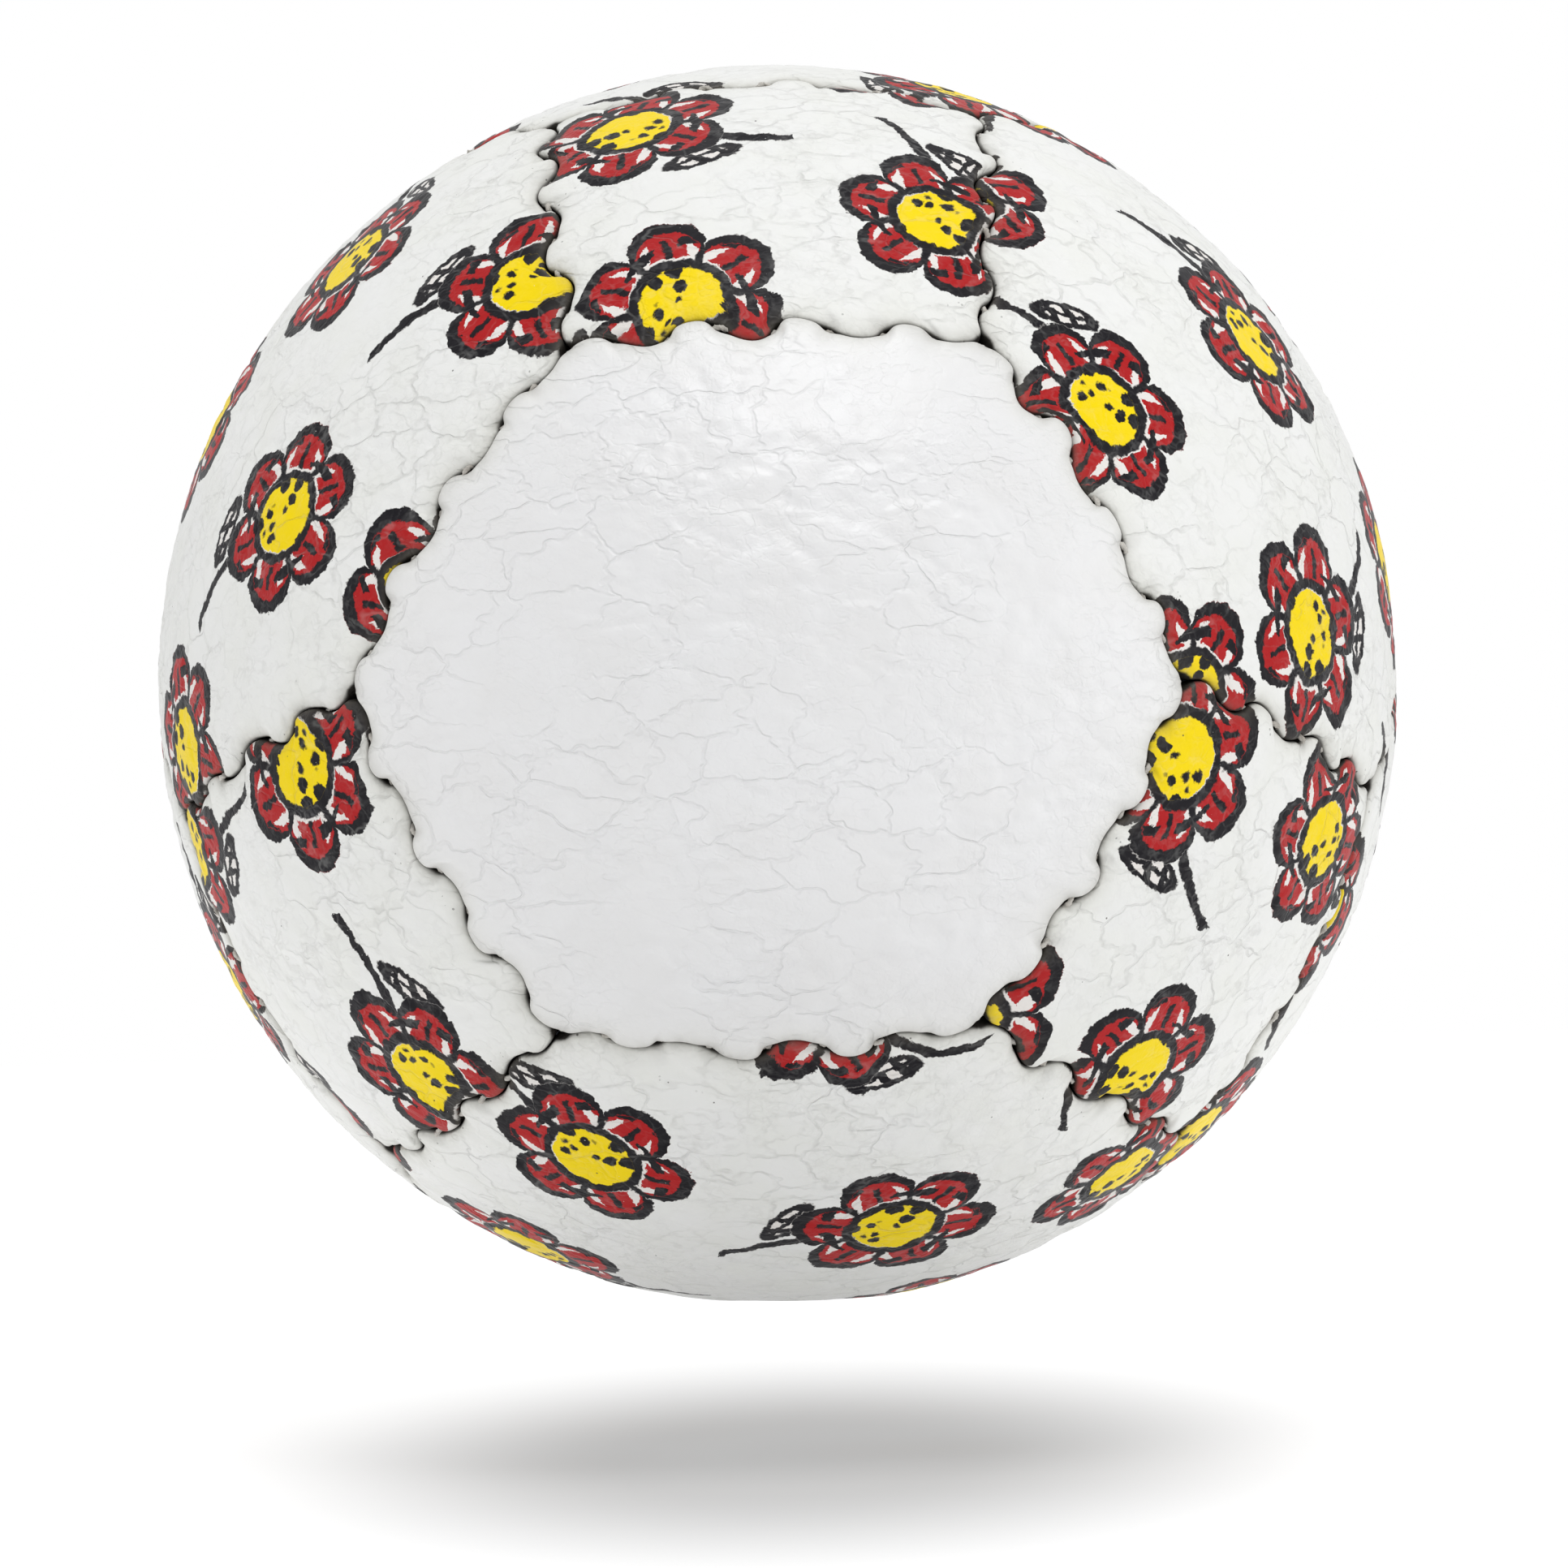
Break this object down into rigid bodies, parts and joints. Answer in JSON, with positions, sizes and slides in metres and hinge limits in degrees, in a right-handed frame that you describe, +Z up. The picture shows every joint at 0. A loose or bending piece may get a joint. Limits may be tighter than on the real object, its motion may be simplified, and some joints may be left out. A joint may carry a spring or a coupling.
{
  "type": "stitched lacrosse ball",
  "caption": "Round ball of printed leather panels, hexagons and squares, ladder-stitched edge to edge over a bag of granules, for throwing and catching.",
  "frame": {"origin": "middle of the flat that the ball rests on, on the floor straight below the ball's centre", "axes": "+Z up, -Y out of the middle of the blank front hexagon, with the front top square above it and +X to its right as seen from the front"},
  "size_m": [0.0636, 0.0636, 0.0631],
  "materials": {
    "plain_leather": "satin",
    "printed_leather": "satin, printed",
    "seam_thread": "waxed thread",
    "woven_bag": "plain weave",
    "granules": "crumb"
  },
  "bodies": {
    "root": {"hexagon_panel_front": "plain_leather", "hexagon_panel_front_left": "printed_leather", "hexagon_panel_front_right": "printed_leather", "hexagon_panel_bottom": "printed_leather", "hexagon_panel_top": "printed_leather", "hexagon_panel_rear_left": "printed_leather", "hexagon_panel_rear_right": "printed_leather", "hexagon_panel_rear": "printed_leather", "square_panel_front_top": "printed_leather", "square_panel_front_left": "printed_leather", "square_panel_front_right": "printed_leather", "square_panel_rear_bottom": "printed_leather", "square_panel_rear_left": "printed_leather", "square_panel_rear_right": "printed_leather", "thread_hexagon_bottom_to_hexagon_rear_left": "seam_thread", "thread_hexagon_bottom_to_hexagon_rear_right": "seam_thread", "thread_hexagon_bottom_to_square_front_left": "seam_thread", "thread_hexagon_bottom_to_square_front_right": "seam_thread", "thread_hexagon_bottom_to_square_rear_bottom": "seam_thread", "thread_hexagon_front_left_to_hexagon_rear_left": "seam_thread", "thread_hexagon_front_left_to_hexagon_top": "seam_thread", "thread_hexagon_front_left_to_square_front_left": "seam_thread", "thread_hexagon_front_left_to_square_front_top": "seam_thread", "thread_hexagon_front_left_to_square_rear_left": "seam_thread", "thread_hexagon_front_right_to_hexagon_rear_right": "seam_thread", "thread_hexagon_front_right_to_hexagon_top": "seam_thread", "thread_hexagon_front_right_to_square_front_right": "seam_thread", "thread_hexagon_front_right_to_square_front_top": "seam_thread", "thread_hexagon_front_right_to_square_rear_right": "seam_thread", "thread_hexagon_front_to_hexagon_bottom": "seam_thread", "thread_hexagon_front_to_hexagon_front_left": "seam_thread", "thread_hexagon_front_to_hexagon_front_right": "seam_thread", "thread_hexagon_front_to_square_front_left": "seam_thread", "thread_hexagon_front_to_square_front_right": "seam_thread", "thread_hexagon_front_to_square_front_top": "seam_thread", "thread_hexagon_rear_left_to_hexagon_rear": "seam_thread", "thread_hexagon_rear_left_to_square_front_left": "seam_thread", "thread_hexagon_rear_left_to_square_rear_bottom": "seam_thread", "thread_hexagon_rear_left_to_square_rear_left": "seam_thread", "thread_hexagon_rear_right_to_hexagon_rear": "seam_thread", "thread_hexagon_rear_right_to_square_front_right": "seam_thread", "thread_hexagon_rear_right_to_square_rear_bottom": "seam_thread", "thread_hexagon_rear_right_to_square_rear_right": "seam_thread", "thread_hexagon_rear_to_square_rear_bottom": "seam_thread", "thread_hexagon_rear_to_square_rear_left": "seam_thread", "thread_hexagon_rear_to_square_rear_right": "seam_thread", "thread_hexagon_top_to_hexagon_rear": "seam_thread", "thread_hexagon_top_to_square_front_top": "seam_thread", "thread_hexagon_top_to_square_rear_left": "seam_thread", "thread_hexagon_top_to_square_rear_right": "seam_thread", "inner_bag": "woven_bag", "granule_fill": "granules"}
  },
  "joints": []
}
